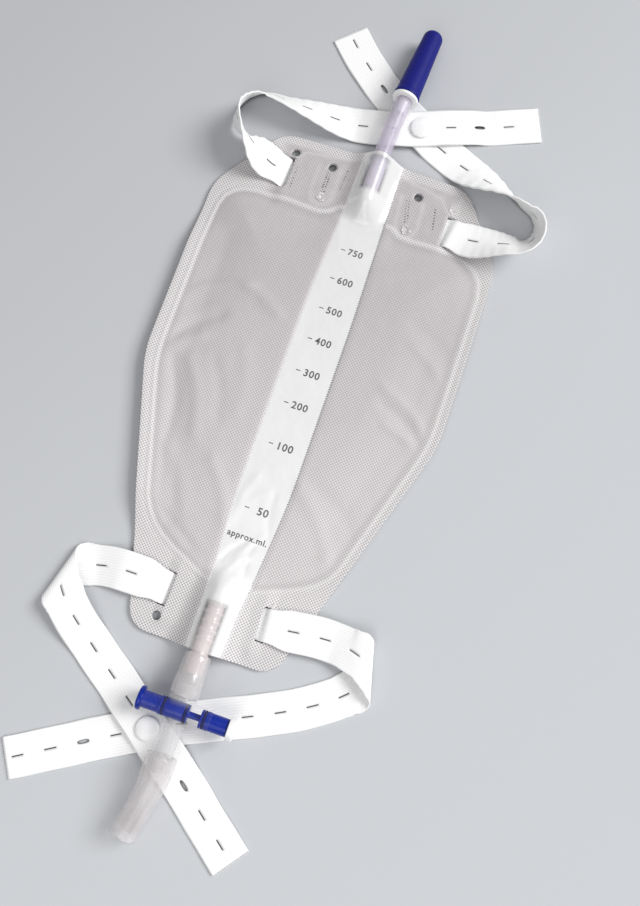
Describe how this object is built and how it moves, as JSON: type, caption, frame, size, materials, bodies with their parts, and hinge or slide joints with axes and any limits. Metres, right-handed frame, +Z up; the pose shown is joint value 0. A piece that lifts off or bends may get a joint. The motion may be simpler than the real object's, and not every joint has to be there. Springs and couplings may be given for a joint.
{
  "type": "urine drainage leg bag",
  "caption": "Flat drainage leg bag with fabric covers and a clear window, capped inlet tube, push tap with outlet tube, and two elastic buttonhole straps.",
  "frame": {"origin": "middle of the bounding box in plan, on the floor", "axes": "+Z up, +Y from the outlet tube to the capped inlet, +X to the right as seen from above"},
  "size_m": [0.1648, 0.4202, 0.021],
  "materials": {
    "cover_fabric": "woven non-woven cover, matt",
    "clear_film": "clear soft film",
    "valve_film": "milky soft film",
    "white_elastic": "ribbed elastic webbing",
    "white_plastic": "smooth",
    "navy_plastic": "smooth",
    "blue_plastic": "smooth",
    "lilac_tube": "clear soft tube",
    "pink_tube": "clear soft tube",
    "clear_plastic": "clear moulded plastic",
    "soft_tube": "translucent soft tube",
    "seal_rubber": "matt seal rings"
  },
  "bodies": {
    "bag": {"back_cover": "cover_fabric", "front_cover_left": "cover_fabric", "front_cover_right": "cover_fabric", "back_film": "clear_film", "front_film": "clear_film", "nonreturn_valve": "valve_film", "upper_strap": "white_elastic", "lower_strap": "white_elastic", "upper_button": "white_plastic", "upper_button_back": "white_plastic", "lower_button": "white_plastic", "lower_button_back": "white_plastic", "inlet_tube": "lilac_tube", "inlet_connector": "white_plastic", "outlet_port": "pink_tube", "outlet_sleeve": "clear_plastic", "tap_body": "clear_plastic", "outlet_tube": "soft_tube"},
    "tap_slider": {"tap_spool": "blue_plastic", "tap_seal_left": "seal_rubber", "tap_seal_middle": "seal_rubber", "tap_seal_right": "seal_rubber", "tap_end_cap": "white_plastic"},
    "cap": {"inlet_cap": "navy_plastic"}
  },
  "joints": [
    {"name": "tap_slide", "type": "slide", "parent": "bag", "child": "tap_slider", "axis": [-1, 0, 0], "range_m": [0, 0.00785]},
    {"name": "cap_pull", "type": "slide", "parent": "bag", "child": "cap", "axis": [0.0749, 0.9962, -0.0436], "range_m": [0, 0.044]}
  ]
}
